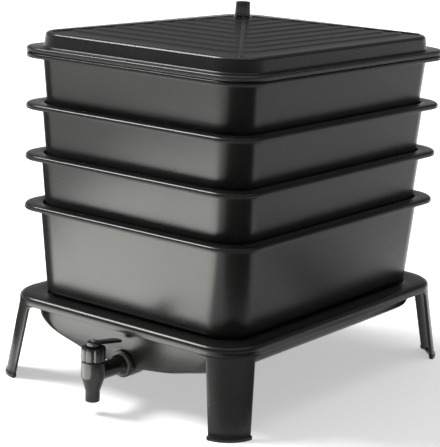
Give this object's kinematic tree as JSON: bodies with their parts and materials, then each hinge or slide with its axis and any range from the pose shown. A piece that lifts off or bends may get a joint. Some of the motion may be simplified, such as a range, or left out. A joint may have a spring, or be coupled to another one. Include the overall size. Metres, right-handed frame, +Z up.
{
  "type": "wormery",
  "caption": "Stacking wormery: nested worm trays under a low pyramid lid, on a legged stand with a sump and a lever tap.",
  "frame": {"origin": "centre of the bounding box's bottom face, on the ground between the feet", "axes": "+Z up, the tap faces -Y, +Y runs along the longer side to the back, +X is to the right seen from the tap"},
  "size_m": [0.46, 0.624, 0.5663],
  "materials": {
    "tray_plastic": "satin black moulded plastic",
    "lid_plastic": "satin black moulded plastic",
    "stand_plastic": "satin black moulded plastic",
    "tap_plastic": "semi-gloss black plastic",
    "washer_rubber": "pale soft rubber",
    "screw_steel": "plain"
  },
  "bodies": {
    "stand": {"base_ring": "stand_plastic", "leg_front_left": "stand_plastic", "leg_front_right": "stand_plastic", "leg_back_left": "stand_plastic", "leg_back_right": "stand_plastic", "leg_screw_front_left": "screw_steel", "leg_screw_front_right": "screw_steel", "leg_screw_back_left": "screw_steel", "leg_screw_back_right": "screw_steel", "sump": "stand_plastic", "sump_well": "stand_plastic", "sump_screw_left_front": "screw_steel", "sump_screw_left_back": "screw_steel", "sump_screw_front_middle": "screw_steel", "sump_screw_right_front": "screw_steel", "sump_screw_right_back": "screw_steel", "sump_screw_back_middle": "screw_steel", "tap_body": "tap_plastic", "tap_gland_nut": "tap_plastic", "tap_washer_outer": "washer_rubber", "tap_washer_inner": "washer_rubber", "tap_back_nut": "tap_plastic"},
    "tray_4_lift": {"tray_4": "tray_plastic"},
    "tray_3_lift": {"tray_3": "tray_plastic"},
    "tray_2_lift": {"tray_2": "tray_plastic"},
    "tray_1_lift": {"tray_1": "tray_plastic"},
    "lid_lift": {"lid": "lid_plastic", "lid_knob": "tap_plastic", "knob_washer": "screw_steel", "knob_screw": "screw_steel"},
    "tap_valve": {"tap_plug": "tap_plastic", "tap_lever": "tap_plastic", "tap_lever_screw": "screw_steel"}
  },
  "joints": [
    {"name": "tray_4_slide", "type": "slide", "parent": "stand", "child": "tray_4_lift", "axis": [0, 0, 1], "range_m": [0, 0.08]},
    {"name": "tray_3_slide", "type": "slide", "parent": "tray_4_lift", "child": "tray_3_lift", "axis": [0, 0, 1], "range_m": [0, 0.08]},
    {"name": "tray_2_slide", "type": "slide", "parent": "tray_3_lift", "child": "tray_2_lift", "axis": [0, 0, 1], "range_m": [0, 0.08]},
    {"name": "tray_1_slide", "type": "slide", "parent": "tray_2_lift", "child": "tray_1_lift", "axis": [0, 0, 1], "range_m": [0, 0.08]},
    {"name": "lid_slide", "type": "slide", "parent": "tray_1_lift", "child": "lid_lift", "axis": [0, 0, 1], "range_m": [0, 0.08]},
    {"name": "tap_turn", "type": "hinge", "parent": "stand", "child": "tap_valve", "pos_m": [0, -0.29474, 0.058], "axis": [0, 0, 1], "range_deg": [0, 90]}
  ]
}
